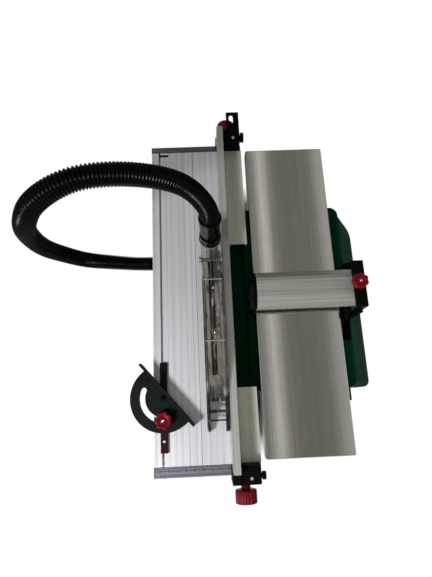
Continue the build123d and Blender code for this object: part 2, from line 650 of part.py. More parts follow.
# ---- saw table and its lift ----
def saw_table_main():
    table = block(SAW_LEFT, SAW_RIGHT, SAW_FRONT, SAW_BACK, TABLE_UNDER, TABLE_TOP)
    for x0, x1 in ((-311, -304), (-286, -252), (-248, -214), (-210, -182), (-154, -121)):
        table -= block(x0, x1, SAW_FRONT, SAW_BACK, TABLE_UNDER, TABLE_TOP - 4)
    table -= block(SLOT_X - SLOT_WIDTH / 2, SLOT_X + SLOT_WIDTH / 2, SAW_FRONT, SAW_BACK, TABLE_TOP - 9, TABLE_TOP)
    table -= block(SLOT_X - 5, SLOT_X + 5, SAW_FRONT, SAW_BACK, TABLE_TOP - 10, TABLE_TOP - 6)
    for x in (-309, -268, -232, -196, -130):
        table -= block(x - 0.8, x + 0.8, SAW_FRONT, SAW_BACK, TABLE_TOP - 0.8, TABLE_TOP)
    return table - block(BLADE_X - 7, BLADE_X + 7, -229, 67, TABLE_UNDER, TABLE_TOP)


def strip(y0, y1):
    bar = block(SAW_RIGHT, STRIP_RIGHT, y0, y1, TABLE_UNDER, TABLE_TOP)
    bar -= block(SAW_RIGHT + 4, STRIP_RIGHT - 4, y0, y1, TABLE_UNDER, TABLE_TOP - 4)
    return bar - block(-95, -93.4, y0, y1, TABLE_TOP - 0.8, TABLE_TOP)


def saw_table_strips():
    return group([strip(SAW_FRONT, -260), strip(103, SAW_BACK)])


def rail(y_table, outward):
    """A scaled guide rail bolted to the end of the saw table, with a clamp groove on its outer face."""
    y_far = y_table + outward * RAIL_WIDTH
    y_groove = y_far - outward * 5
    low = RAIL_TOP - RAIL_HEIGHT
    bar = block(SAW_LEFT, STRIP_RIGHT, min(y_table, y_far), max(y_table, y_far), low, RAIL_TOP)
    bar -= block(SAW_LEFT, STRIP_RIGHT, min(y_far, y_groove), max(y_far, y_groove), low + 6, low + 14)
    y_line = y_table + outward * 3
    return bar - block(SAW_LEFT, STRIP_RIGHT, min(y_table, y_line), max(y_table, y_line), RAIL_TOP - 6, RAIL_TOP)


def guide_rails():
    return group([rail(SAW_FRONT, -1), rail(SAW_BACK, 1)])


def table_carrier(side, column_foot):
    """A cross beam under the saw table, carried on two columns."""
    y = side * COLUMN_Y
    carrier = block(-310, -75, y - 12, y + 12, BEAM_UNDER, TABLE_UNDER)
    for x in COLUMN_XS:
        carrier += rod_z(COLUMN_R, column_foot, BEAM_UNDER, x, y)
    return carrier


def table_brackets():
    """Both carriers; the front one also holds the long nut for the lift screw."""
    front = table_carrier(-1, 96) + rod_z(12, 200, BEAM_UNDER, LIFT_X, -COLUMN_Y)
    front -= rod_z(SCREW_R + CLEAR, 200, TABLE_UNDER, LIFT_X, -COLUMN_Y)
    return group([front, table_carrier(1, 112)])


def lift_guides():
    """Guide blocks on the body: one across the front with the lift screw's bearing, two at the back."""
    front = block(-262, -83, -COLUMN_Y - 16, -BODY_HALF_Y, 112, 150)
    for x in COLUMN_XS:
        front -= rod_z(COLUMN_R + CLEAR, 112, 150, x, -COLUMN_Y)
    front -= rod_z(SCREW_R + CLEAR, 112, 150, LIFT_X, -COLUMN_Y)
    guides = [front]
    for x in COLUMN_XS:
        guide = block(x - 20, x + 20, BODY_HALF_Y, COLUMN_Y + 16, 152, 192)
        guides.append(guide - rod_z(COLUMN_R + CLEAR, 152, 192, x, COLUMN_Y))
    return group(guides)


def lift_screw():
    screw = rod_z(SCREW_R, 72, 234, LIFT_X, -COLUMN_Y)
    screw += rod_z(11, 150 + SLIDE_GAP, 156, LIFT_X, -COLUMN_Y)
    return screw + rod_z(11, 100, 112 - SLIDE_GAP, LIFT_X, -COLUMN_Y)


def lift_handwheel():
    wheel = rod_z(40, 76, 90, LIFT_X, -COLUMN_Y) - rod_z(31, 76, 90, LIFT_X, -COLUMN_Y)
    wheel += rod_z(13, 74, 96, LIFT_X, -COLUMN_Y)
    for turn in (0, 120, 240):
        spoke = Rot(0, 0, turn) * Pos(21, 0, 0) * Box(22, 9, 8)
        wheel += Pos(LIFT_X, -COLUMN_Y, 83) * spoke
    wheel += rod_z(6, 46, 76, LIFT_X - 34, -COLUMN_Y)
    return wheel - rod_z(SCREW_R, 72, 98, LIFT_X, -COLUMN_Y)


# ---- rip fence ----
def fence_profile():
    x1 = FENCE_LEFT + FENCE_THICK
    bar = block(FENCE_LEFT, x1, FENCE_FRONT, FENCE_BACK, FENCE_FOOT, FENCE_HEAD)
    for z in (FENCE_FOOT + 16, FENCE_HEAD - 16):
        bar -= block(x1 - 7, x1, FENCE_FRONT, FENCE_BACK, z - 3, z + 3)
        bar -= block(x1 - 7, x1 - 3, FENCE_FRONT, FENCE_BACK, z - 5.5, z + 5.5)
    bar -= block(FENCE_LEFT + 3, FENCE_LEFT + 7, FENCE_FRONT, FENCE_BACK, FENCE_FOOT + 3, FENCE_HEAD - 3)
    return bar


def fence_bracket(y_table, outward, y_in, y_out):
    """The carrier that hooks over a rail, holds the fence and takes the clamp knob."""
    x0 = FENCE_LEFT - 2
    x1 = FENCE_LEFT + FENCE_THICK + SLIDE_GAP
    right = -76.0
    y_rail = y_table + outward * (RAIL_WIDTH + 1)
    deck_low = RAIL_TOP + SLIDE_GAP
    lip = block(x0, right, min(y_rail, y_out), max(y_rail, y_out), CLAMP_Z - 16, FENCE_FOOT)
    over = block(x0, right, min(y_table + outward, y_out), max(y_table + outward, y_out), deck_low, FENCE_FOOT)
    cheek = block(x1, right, min(y_in, y_out), max(y_in, y_out), TABLE_TOP + SLIDE_GAP, 332)
    cheek = chamfer(cheek.edges().filter_by(Axis.Y).group_by(Axis.Z)[-1], 6)
    carrier = lip + over + cheek
    return carrier - rod_y(5 + CLEAR, min(y_rail, y_out), max(y_rail, y_out), CLAMP_X, CLAMP_Z)


def fence_bracket_front():
    carrier = fence_bracket(SAW_FRONT, -1, -428, -469)
    carrier += block(FENCE_LEFT - 2, FENCE_LEFT + FENCE_THICK + 1, -469, FENCE_FRONT - 1, 280, 334)
    return carrier - rod_x(4 + CLEAR, -118, -70, -453, 314)


def fence_bracket_rear():
    carrier = fence_bracket(SAW_BACK, 1, 380, 417)
    tongue = block(-107, -72, 410, 498, 287, 292) - slot_z(29, 11.5, 287, 292, -93.5, 476)
    carrier += tongue
    return carrier - rod_x(4 + CLEAR, -118, -70, 401, 314)


def fence_knob_front():
    seat = SAW_FRONT - RAIL_WIDTH - 13
    knob = fluted_knob(25, 30, 20, 11, 20, 5, 13 - SLIDE_GAP * 2)
    return Pos(CLAMP_X, seat - SLIDE_GAP, CLAMP_Z) * Rot(90, 0, 0) * knob


def fence_knob_rear():
    seat = SAW_BACK + RAIL_WIDTH + 15
    knob = fluted_knob(23, 28, 20, 11, 35, 5, 15 - SLIDE_GAP * 2)
    return Pos(CLAMP_X, seat + SLIDE_GAP, CLAMP_Z) * Rot(-90, 0, 0) * knob


def side_knob(r, y):
    knob = fluted_knob(r, 9, 12, 5, 2, 4, 42)
    return Pos(-76 + SLIDE_GAP, y, 314) * Rot(0, 90, 0) * knob


def fence_side_knob_front():
    return side_knob(9, -453)


def fence_side_knob_rear():
    return side_knob(13, 401)


# ---- mitre gauge ----
def mitre_bar():
    """The bar with its key in the slot and the pivot pin of the head."""
    low = TABLE_TOP + SLIDE_GAP
    bar = block(SLOT_X - 5, SLOT_X + 12, -400, -195, low, low + 6)
    bar += block(SLOT_X - 2.2, SLOT_X + 2.2, -396, -199, TABLE_TOP - 8, low)
    bar += rod_z(5, low + 6, low + 12.6, PIVOT_X, PIVOT_Y)
    bar += rod_z(7.5, low + 12.6, low + 15, PIVOT_X, PIVOT_Y)
    return bar - rod_z(3 + CLEAR, low, low + 6, PIVOT_X, MITRE_KNOB_Y)


def mitre_head():
    low = TABLE_TOP + SLIDE_GAP * 2 + 6
    disc = Pos(0, 0, low) * extrude(Circle(MITRE_DISC_R), 6)
    disc &= block(-100, 100, -100, 0, low, low + 6)
    disc += block(-MITRE_DISC_R, MITRE_DISC_R, 0, 8, low, low + 6)
    arc_slot = Pos(0, 0, low) * extrude(Circle(56.5) - Circle(43.5), 6)
    half = radians(MITRE_LIMIT + 3)
    wedge = [(0, 0), (-120 * sin(half), -120 * cos(half)), (0, -160), (120 * sin(half), -120 * cos(half))]
    arc_slot &= Pos(0, 0, low) * extrude(make_face(Polyline(*wedge, close=True)), 6)
    ends = [rod_z(6.5, low, low + 6, side * 50 * sin(half), -50 * cos(half)) for side in (-1, 1)]
    disc -= arc_slot + ends[0] + ends[1]
    face = block(-MITRE_FACE / 2, MITRE_FACE / 2, 8, 14, low, low + 30)
    face = fillet(face.edges().filter_by(Axis.Z), 2.5)
    head = disc + face
    for x in (-60, -30, 30, 60):
        rib = prism_y([(x - 2, low + 6), (x + 2, low + 6), (x + 2, low + 20), (x - 2, low + 20)], -4, 8)
        head += rib
    head -= rod_z(5 + CLEAR, low, low + 6, 0, 0)
    return Pos(PIVOT_X, PIVOT_Y, 0) * Rot(0, 0, MITRE_REST) * head


def mitre_knob():
    seat = TABLE_TOP + 2 * SLIDE_GAP + 12
    knob = lobed_knob(20, 17, 7, 9, 6, 3, 11.5)
    return Pos(PIVOT_X, MITRE_KNOB_Y, seat + SLIDE_GAP) * knob


# ---- electrics ----
def switch_box():
    """The box on the front of the body, with two wells for the buttons."""
    box = block(110, 182, -BODY_HALF_Y - 34, -BODY_HALF_Y, 118, 208)
    box = fillet(box.edges().filter_by(Axis.Y), 8)
    for z in (142, 184):
        box -= rod_y(13.5, -BODY_HALF_Y - 35, -BODY_HALF_Y - 20, 146, z)
        box -= rod_y(4, -BODY_HALF_Y - 21, -BODY_HALF_Y - 10, 146, z)
    return box


def push_button(z, stand):
    face = -BODY_HALF_Y - 34
    cap = rod_y(13.2, face - stand, face + 8, 146, z)
    cap = fillet(cap.edges().filter_by(GeomType.CIRCLE).group_by(Axis.Y)[0], 1.5)
    return cap + rod_y(4 - CLEAR, face + 8, face + 18, 146, z)


def start_button():
    return push_button(184, 1)


def stop_button():
    return push_button(142, 4)


def cable_gland():
    body = rod_y(7.9, BODY_HALF_Y - 6, BODY_HALF_Y + 2, 162, 55)
    body += rod_y(12, BODY_HALF_Y, BODY_HALF_Y + 7, 162, 55)
    body += Pos(162, BODY_HALF_Y + 13, 55) * Rot(-90, 0, 0) * Cone(9, 6.5, 12)
    return body - rod_y(4, BODY_HALF_Y - 7, BODY_HALF_Y + 20, 162, 55)


PARTS = (
    rubber_feet, bottom_plate, housing_screws, base_housing, planer_frame, infeed_table, infeed_support,
    outfeed_table, depth_knob, bearing_plates, ball_bearings, cutter_block, planer_knives, cutter_pulley,
    drive_pulley, drive_belt, belt_cover, chip_chute, bridge_guard_profile, bridge_end_plate, guard_posts,
    guard_portal, bridge_knob, guard_height_knob, motor_casing, arbor_bearing_block, arbor_shaft, saw_blade,
    blade_flanges, arbor_nut, lower_shroud, riving_knife, riving_knife_clamp, blade_guard, guard_bolt,
    hose_cuff_upper, dust_hose, hose_cuff_lower, dust_manifold, saw_table_main, saw_table_strips, guide_rails,
    table_brackets, lift_guides, lift_screw, lift_handwheel, fence_profile, fence_bracket_front,
    fence_bracket_rear, fence_knob_front, fence_knob_rear, fence_side_knob_front, fence_side_knob_rear,
    mitre_bar, mitre_head, mitre_knob, switch_box, start_button, stop_button, cable_gland)

os.makedirs("parts", exist_ok=True)
for make_part in PARTS:
    export_step(make_part(), "parts/" + make_part.__name__ + ".step")
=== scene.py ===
import json
from math import cos, pi, sin

import bmesh
import bpy
from mathutils import Matrix, Vector


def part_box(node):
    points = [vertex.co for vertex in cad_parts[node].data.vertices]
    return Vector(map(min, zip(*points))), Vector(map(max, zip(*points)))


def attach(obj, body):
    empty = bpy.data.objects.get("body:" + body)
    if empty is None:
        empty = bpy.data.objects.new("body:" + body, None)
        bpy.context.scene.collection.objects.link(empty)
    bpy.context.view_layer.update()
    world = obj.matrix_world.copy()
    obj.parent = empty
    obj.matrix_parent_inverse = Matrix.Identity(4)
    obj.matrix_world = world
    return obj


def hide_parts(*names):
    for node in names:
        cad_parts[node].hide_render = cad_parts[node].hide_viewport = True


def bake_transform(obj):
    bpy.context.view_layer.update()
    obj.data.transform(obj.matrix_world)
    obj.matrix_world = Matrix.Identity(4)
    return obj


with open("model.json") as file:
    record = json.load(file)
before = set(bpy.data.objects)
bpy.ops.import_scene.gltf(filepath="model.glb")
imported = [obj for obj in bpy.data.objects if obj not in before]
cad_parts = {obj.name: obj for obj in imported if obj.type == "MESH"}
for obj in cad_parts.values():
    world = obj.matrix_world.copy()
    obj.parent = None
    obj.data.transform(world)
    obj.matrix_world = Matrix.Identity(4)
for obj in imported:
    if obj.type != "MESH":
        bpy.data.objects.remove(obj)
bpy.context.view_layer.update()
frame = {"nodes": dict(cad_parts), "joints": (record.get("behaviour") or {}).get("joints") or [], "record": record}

# Looks of a combination planer and table saw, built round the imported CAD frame.
# Metres. +Z is up, X runs from the saw to the planer, Y runs along the tables away from the operator.
RECORD = frame["record"]
JOINTS = {j["name"]: j for j in frame["joints"]}
X, Y, Z = Vector((1, 0, 0)), Vector((0, 1, 0)), Vector((0, 0, 1))

CAMERA_AT = (-0.180, -0.2906, 1.3497)
CAMERA_LOOK = (0.0212, 0.2526, -0.9673)
CAMERA_RIGHT = (0.999, -0.0441, 0.0104)
SENSOR_WIDTH = 36
LENS = 27.02


# ---- camera ----
def make_camera():
    data = bpy.data.cameras.new("camera")
    data.sensor_width = SENSOR_WIDTH
    data.lens = LENS
    data.clip_end = 50
    camera = bpy.data.objects.new("camera", data)
    bpy.context.collection.objects.link(camera)
    look = Vector(CAMERA_LOOK).normalized()
    up = Vector(CAMERA_RIGHT).cross(look).normalized()
    right = look.cross(up)
    turn = Matrix((right, up, -look)).transposed().to_4x4()
    camera.matrix_world = Matrix.Translation(CAMERA_AT) @ turn
    bpy.context.scene.camera = camera


make_camera()
bpy.context.scene.view_settings.view_transform = "Standard"


# ---- node helpers ----
class Shade:
    """A material with its main shader and short calls for the nodes that feed it."""

    def __init__(self, name, **shader):
        self.material = bpy.data.materials.new(name)
        self.material.use_nodes = True
        self.tree = self.material.node_tree
        self.main = self.tree.nodes["Principled BSDF"]
        self.coordinates = self.tree.nodes.new("ShaderNodeTexCoord").outputs["Object"]
        for socket, value in shader.items():
            self.main.inputs[socket.replace("_", " ")].default_value = value

    def node(self, kind, **values):
        made = self.tree.nodes.new(kind)
        for key, value in values.items():
            if hasattr(made, key):
                setattr(made, key, value)
            else:
                made.inputs[key.replace("_", " ")].default_value = value
        return made

    def link(self, source, target):
        self.tree.links.new(source, target)

    def axis(self, name):
        """One coordinate of the shaded point, in metres."""
        split = self.node("ShaderNodeSeparateXYZ")
        self.link(self.coordinates, split.inputs["Vector"])
        return split.outputs[name]

    def spread(self, value, low, high):
        """The value with low..high taken to zero..one."""
        made = self.node("ShaderNodeMapRange", From_Min=low, From_Max=high)
        self.link(value, made.inputs["Value"])
        return made.outputs["Result"]

    def math(self, operation, first, second):
        """An operation on a socket and either another socket or a number."""
        made = self.node("ShaderNodeMath", operation=operation)
        self.link(first, made.inputs[0])
        if isinstance(second, float):
            made.inputs[1].default_value = second
        else:
            self.link(second, made.inputs[1])
        return made.outputs["Value"]

    def noise(self, scale, detail=3.0, rough=0.5):
        """Noise with its own scale along each axis, in features per metre."""
        mapping = self.node("ShaderNodeMapping")
        mapping.inputs["Scale"].default_value = scale
        self.link(self.coordinates, mapping.inputs["Vector"])
        made = self.node("ShaderNodeTexNoise", Scale=1.0, Detail=detail, Roughness=rough)
        self.link(mapping.outputs["Vector"], made.inputs["Vector"])
        return made.outputs["Fac"]

    def ramp(self, source, *stops):
        """Grey levels or colours at stops along the source."""
        made = self.node("ShaderNodeValToRGB")
        while len(made.color_ramp.elements) < len(stops):
            made.color_ramp.elements.new(0.5)
        for element, (place, colour) in zip(made.color_ramp.elements, stops):
            element.position = place
            element.color = (*colour, 1) if hasattr(colour, "__len__") else (colour, colour, colour, 1)
        self.link(source, made.inputs["Fac"])
        return made.outputs["Color"]

    def combine(self, mode, first, second, share=1.0):
        """Two colours put together in one of the mix node's modes."""
        made = self.node("ShaderNodeMix", data_type="RGBA", blend_type=mode)
        made.inputs["Factor"].default_value = share
        self.link(first, made.inputs["A"])
        self.link(second, made.inputs["B"])
        return made.outputs["Result"]

    def beyond(self, share, plain, colour):
        """A plain colour where the share is zero and another one where it is one."""
        made = self.node("ShaderNodeMix", data_type="RGBA")
        made.inputs["A"].default_value = (*plain, 1)
        self.link(share, made.inputs["Factor"])
        self.link(colour, made.inputs["B"])
        return made.outputs["Result"]

    def bump(self, height, strength, distance):
        made = self.node("ShaderNodeBump", Strength=strength, Distance=distance)
        self.link(height, made.inputs["Height"])
        return made.outputs["Normal"]

    def finish(self, colour=None, roughness=None, normal=None):
        for source, socket in ((colour, "Base Color"), (roughness, "Roughness"), (normal, "Normal")):
            if source is not None:
                self.link(source, self.main.inputs[socket])
        return self.material

    def surface(self, share, first, second):
        """Mixes two shaders into the material's surface."""
        mix = self.node("ShaderNodeMixShader")
        self.link(share, mix.inputs["Fac"])
        self.link(first, mix.inputs[1])
        self.link(second, mix.inputs[2])
        self.link(mix.outputs["Shader"], self.tree.nodes["Material Output"].inputs["Surface"])
        return self.material


def tint(colour, amount):
    return tuple(min(1.0, c * amount) for c in colour)


# ---- materials ----
def painted(name, colour, rough=0.42, mirror=0.05):
    """Sprayed enamel: slight orange peel, faint dust and uneven gloss."""
    s = Shade(name, Specular_IOR_Level=mirror)
    blotch = s.noise((9, 9, 9), 4)
    colours = s.ramp(blotch, (0.3, tint(colour, 0.8)), (0.7, tint(colour, 1.2)))
    gloss = s.ramp(s.noise((60, 60, 60), 3), (0.3, rough - 0.06), (0.7, rough + 0.1))
    peel = s.bump(s.noise((700, 700, 700), 2), 0.12, 0.0004)
    return s.finish(colours, gloss, peel)


LINE_STRETCH = 0.004         # how slowly drawn lines change along themselves
LINE_LEAST = 1.2             # and the least they change, in features per metre
WAVE_PERIOD = 0.314          # length of one band of a wave texture at scale 1
# Painted shade: the colour for the bed's shaded left side face.
FLANK_SHADE = (0.02, 0.02, 0.018)
FLANK_EDGE = 0.0004


def drawn_metal(name, dark, light, along, fine, rough, bump=0.25, metal=1.0, ribs=None, shaded_flank=None):
    """Metal with lines along one axis: broad tone bands under fine scratches.
    ribs is the pitch of thin grooves, and left of X = shaded_flank the metal is painted nearly black, as painted
    shade on the bed's side face."""
    s = Shade(name, Metallic=metal)

    def lined(scale, detail):
        slow = scale * LINE_STRETCH + LINE_LEAST
        return s.noise([slow if i == along else scale for i in range(3)], detail)

    hair = lined(fine, 2)
    colours = s.ramp(lined(fine * 0.12, 3), (0.35, dark), (0.65, light))
    colours = s.combine("MULTIPLY", colours, s.ramp(hair, (0.2, 0.82), (0.7, 1.0)), 0.5)
    if ribs:
        wave = s.node("ShaderNodeTexWave", Scale=WAVE_PERIOD / ribs, Distortion=0.0)
        s.link(s.coordinates, wave.inputs["Vector"])
        grooves = s.ramp(wave.outputs["Fac"], (0.0, 0.74), (0.03, 0.98), (1.0, 1.0))
        colours = s.combine("MULTIPLY", colours, grooves)
    # Painted shade: left of the bed's edge the metal is painted nearly black.
    if shaded_flank is not None:
        colours = s.beyond(s.spread(s.axis("X"), shaded_flank, shaded_flank + FLANK_EDGE), FLANK_SHADE, colours)
    gloss = s.ramp(lined(14, 2), (0.3, rough * 0.85), (0.7, rough * 1.15))
    return s.finish(colours, gloss, s.bump(hair, bump, 0.0003))


def moulded(name, colour, rough=0.5, grain=0.25, mirror=0.06):
    """Moulded plastic with a fine spark-eroded grain and slightly uneven sheen."""
    s = Shade(name, Specular_IOR_Level=mirror)
    colours = s.ramp(s.noise((35, 35, 35), 4), (0.3, tint(colour, 0.85)), (0.7, tint(colour, 1.25)))
    gloss = s.ramp(s.noise((90, 90, 90), 3), (0.3, rough - 0.07), (0.7, rough + 0.08))
    leather = s.bump(s.noise((1500, 1500, 1500), 2), grain, 0.0003)
    return s.finish(colours, gloss, leather)


def cast_metal(name, colour, rough=0.5):
    """Sand-cast metal with fine pits."""
    s = Shade(name, Metallic=1.0)
    colours = s.ramp(s.noise((40, 40, 40), 5), (0.3, tint(colour, 0.8)), (0.7, tint(colour, 1.1)))
    gloss = s.ramp(s.noise((120, 120, 120)), (0.3, rough - 0.08), (0.7, rough + 0.1))
    pits = s.bump(s.noise((900, 900, 900), 3), 0.35, 0.0005)
    return s.finish(colours, gloss, pits)


def turned_metal(name, colour, rough=0.28):
    """Turned steel: rings round the X axis are too fine to see, so the sheen breaks up along it."""
    s = Shade(name, Metallic=1.0)
    colours = s.ramp(s.noise((900, 30, 30), 2), (0.3, tint(colour, 0.82)), (0.7, tint(colour, 1.08)))
    gloss = s.ramp(s.noise((50, 50, 50)), (0.3, rough - 0.06), (0.7, rough + 0.1))
    rings = s.bump(s.noise((1500, 60, 60), 2), 0.2, 0.0002)
    return s.finish(colours, gloss, rings)


def clear_moulding(name):
    """Clear polycarbonate: see-through face on, grey at its edges, with dark wisps and painted white glints, and
    smoked at the front fork.
    """
    s = Shade(name, Roughness=0.08, IOR=1.5)
    through = s.node("ShaderNodeBsdfTransparent")
    smoke = s.ramp(s.spread(s.axis("Y"), -0.36, 0.10), (0.0, (0.3, 0.3, 0.28)), (0.15, (0.36, 0.36, 0.34)),
                   (0.2, (0.84, 0.83, 0.78)), (1.0, (0.9, 0.89, 0.85)))
    s.link(smoke, through.inputs["Color"])
    wisps = s.noise((150, 22, 90), 6, 0.62)
    # Dark wisps where the noise is low, and painted highlights: white glints at its peaks.
    wisps_and_glints = s.ramp(wisps, (0.36, (0.010, 0.010, 0.009)), (0.52, (0.07, 0.068, 0.062)),
                    (0.7, (0.6, 0.59, 0.56)))
    s.finish(wisps_and_glints, None, s.bump(s.noise((70, 24, 70), 3), 0.35, 0.003))
    facing = s.node("ShaderNodeLayerWeight", Blend=0.28)
    edges = s.ramp(facing.outputs["Facing"], (0.0, 0.1), (0.5, 0.22), (1.0, 0.85))
    # The dark wisps and the painted white glints are opaque where the noise is low or high.
    wisp_and_glint_share = s.ramp(wisps, (0.32, 0.8), (0.42, 0.1), (0.6, 0.08), (0.7, 0.6))
    share = s.combine("LIGHTEN", edges, wisp_and_glint_share)
    return s.surface(share, through.outputs["BSDF"], s.main.outputs["BSDF"])


def bar_enamel():
    """Black enamel on the mitre bar, turning dark red towards its front end."""
    s = Shade("bar enamel", Specular_IOR_Level=0.08)
    along = s.spread(s.axis("Y"), -0.335, -0.275)
    colours = s.ramp(along, (0.0, (0.03, 0.005, 0.008)), (1.0, (0.003, 0.003, 0.006)))
    colours = s.combine("MULTIPLY", colours, s.ramp(s.noise((80, 15, 80), 4), (0.3, 0.6), (0.7, 1.0)))
    gloss = s.ramp(s.noise((60, 60, 60)), (0.3, 0.25), (0.7, 0.4))
    return s.finish(colours, gloss, s.bump(s.noise((900, 900, 900), 2), 0.15, 0.0003))


ALONG_X, ALONG_Y = 0, 1
BED_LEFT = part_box("infeed_table")[0].x
FINISHES = {
    "green_paint": painted("green enamel", (0.003, 0.048, 0.0225), 0.5, 0.01),
    "bed_steel": drawn_metal("ground bed steel", (0.70, 0.69, 0.63), (0.77, 0.76, 0.70), ALONG_Y, 2600, 0.1,
                             0.02, shaded_flank=BED_LEFT),
    "table_aluminium": drawn_metal("ribbed table aluminium", (0.56, 0.56, 0.58), (0.64, 0.64, 0.68), ALONG_Y,
                                   1300, 0.42, metal=0.35, ribs=0.0155),
    "rail_aluminium": drawn_metal("rail aluminium", (0.11, 0.11, 0.14), (0.165, 0.165, 0.2), ALONG_X, 1500,
                                  0.4, metal=0.4),
    "fence_aluminium": drawn_metal("fence aluminium", (0.27, 0.275, 0.25), (0.38, 0.385, 0.36), ALONG_Y, 1500,
                                   0.4, metal=0.2),
    "bridge_aluminium": drawn_metal("bridge aluminium", (0.34, 0.34, 0.305), (0.46, 0.46, 0.42), ALONG_X,
                                    1500, 0.36, metal=0.5),
    "black_plastic": moulded("black moulding", (0.0025, 0.0027, 0.0027), 0.46, mirror=0.03),
    "red_plastic": moulded("red knob plastic", (0.13, 0.003, 0.008), 0.32, 0.1, 0.08),
    "green_plastic": moulded("green button plastic", (0.02, 0.25, 0.05), 0.3, 0.1, 0.35),
    "black_steel": painted("black enamel", (0.0028, 0.0028, 0.003), 0.42, 0.03),
    "blade_steel": turned_metal("ground blade steel", (0.42, 0.42, 0.42), 0.3),
    "machined_steel": turned_metal("machined steel", (0.56, 0.56, 0.57)),
    "cast_aluminium": cast_metal("cast aluminium", (0.4, 0.41, 0.42)),
    "motor_paint": painted("motor enamel", (0.02, 0.02, 0.022), 0.5),
    "clear_plastic": clear_moulding("clear guard plastic"),
    "hose_plastic": moulded("hose plastic", (0.0014, 0.0014, 0.0014), 0.22, 0.1, 0.07),
    "duct_plastic": moulded("duct plastic", (0.012, 0.012, 0.013), 0.5),
    "rubber": moulded("rubber", (0.010, 0.010, 0.010), 0.75, 0.5),
}
OWN_FINISHES = {
    "mitre_head": painted("dark green head enamel", (0.0065, 0.009, 0.0085), 0.45),
    "mitre_bar": bar_enamel(),
    # The strips are the table's own aluminium; their yellower olive tint is painted, standing in for the shade and
    # reflection they show beside the fence.
    "saw_table_strips": drawn_metal("table strip aluminium with painted shade tint", (0.60, 0.59, 0.49), (0.70, 0.69, 0.58), ALONG_Y,
                                    1300, 0.42, metal=0.35),
    "bearing_plates": cast_metal("blackened casting", (0.02, 0.02, 0.02), 0.6),
}
# Print ink, also used as painted shadow in the gaps between the table and the rails.
INK_AND_GAP_SHADOW = moulded("scale ink and painted gap shadow", (0.015, 0.015, 0.02), 0.6, 0.1)
SLOT_DARK = moulded("slot end plug", (0.004, 0.004, 0.004), 0.6)
RIB_GREY = moulded("guard rib plastic", (0.25, 0.26, 0.26), 0.3)

for part in RECORD["subparts"]:
    materials = frame["nodes"][part["node"]].data.materials
    materials.clear()
    materials.append(OWN_FINISHES.get(part["node"], FINISHES[part["material_slot"]]))


# ---- mesh helpers ----
def piece(name, body, slot, bm, finish=None, smooth=True, replaces=()):
    """Makes a mesh object from a bmesh, with its finish, riding on its body."""
    mesh = bpy.data.meshes.new(name)
    bm.to_mesh(mesh)
    bm.free()
    made = bpy.data.objects.new(name, mesh)
    bpy.context.collection.objects.link(made)
    mesh.materials.append(finish or FINISHES[slot])
    for face in mesh.polygons:
        face.use_smooth = smooth
    if body:
        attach(made, body)
    if replaces:
        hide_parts(*replaces)
    return made


def frame_on(axis, origin):
    """A matrix that takes +Z to the axis and zero to the origin."""
    return Matrix.Translation(origin) @ Vector(axis).to_track_quat("Z", "Y").to_matrix().to_4x4()


def add_rings(bm, rings):
    """Joins loops of points, each with the same count, into a skin with closed ends."""
    loops = [[bm.verts.new(p) for p in ring] for ring in rings]
    for low, high in zip(loops, loops[1:]):
        for k in range(len(low)):
            n = (k + 1) % len(low)
            bm.faces.new((low[k], low[n], high[n], high[k]))
    bm.faces.new(list(reversed(loops[0])))
    bm.faces.new(loops[-1])


def add_lathe(bm, place, profile, sides=32, wobble=None):
    """A turned form from (radius, height) pairs. wobble gives each side's radius a factor."""
    rings = []
    for r, h in profile:
        ring = []
        for k in range(sides):
            a = 2 * pi * k / sides
            f = wobble(a, r) if wobble else 1.0
            ring.append(place @ Vector((r * f * cos(a), r * f * sin(a), h)))
        rings.append(ring)
    add_rings(bm, rings)


def add_block(bm, low, high, bevel=0.0):
    """A box with its edges rounded over."""
    made = bmesh.ops.create_cube(bm, size=1.0)
    low, high = Vector(low), Vector(high)
    size = high - low
    for v in made["verts"]:
        v.co = Vector([v.co[i] * size[i] for i in range(3)]) + (low + high) / 2
    if bevel:
        edges = list({e for v in made["verts"] for e in v.link_edges})
        bmesh.ops.bevel(bm, geom=edges, offset=bevel, segments=3, affect="EDGES", profile=0.5)


def add_flat(bm, x0, x1, y0, y1, z):
    """A level rectangle, for ink lines."""
    corners = [bm.verts.new(p) for p in ((x0, y0, z), (x1, y0, z), (x1, y1, z), (x0, y1, z))]
    bm.faces.new(corners)


SCREW_PROFILE = [(1, 0), (1, 0.25), (0.93, 0.42), (0.72, 0.56), (0.5, 0.6), (0.46, 0.56), (0.44, 0.16),
                 (0.02, 0.12)]


def screws(name, body, places, r, axis, slot="machined_steel"):
    """Button-head screws with sockets, standing on a face."""
    bm = bmesh.new()
    for at in places:
        add_lathe(bm, frame_on(axis, at), [(r * across, r * up) for across, up in SCREW_PROFILE], 24)
    return piece(name, body, slot, bm)


# ---- dust hose ----
HOSE_ROUTE = [
    (-0.168, 0.078, 0.520), (-0.168, 0.078, 0.557), (-0.200, 0.094, 0.616), (-0.243, 0.088, 0.672),
    (-0.316, 0.073, 0.720), (-0.388, 0.054, 0.741), (-0.452, 0.028, 0.720), (-0.494, 0.025, 0.648),
    (-0.531, 0.046, 0.548), (-0.546, 0.062, 0.426), (-0.536, 0.084, 0.316), (-0.502, 0.094, 0.234),
    (-0.438, 0.101, 0.186), (-0.364, 0.099, 0.165), (-0.306, 0.099, 0.165)]
HOSE_R = 0.0205
HOSE_PITCH = 0.0060
HOSE_GROOVE = 0.0034
HOSE_STEP = HOSE_PITCH / 6
HOSE_SIDES = 32
PLAIN_END = 0.006            # stretch inside each cuff
PLAIN_INSET = 0.002


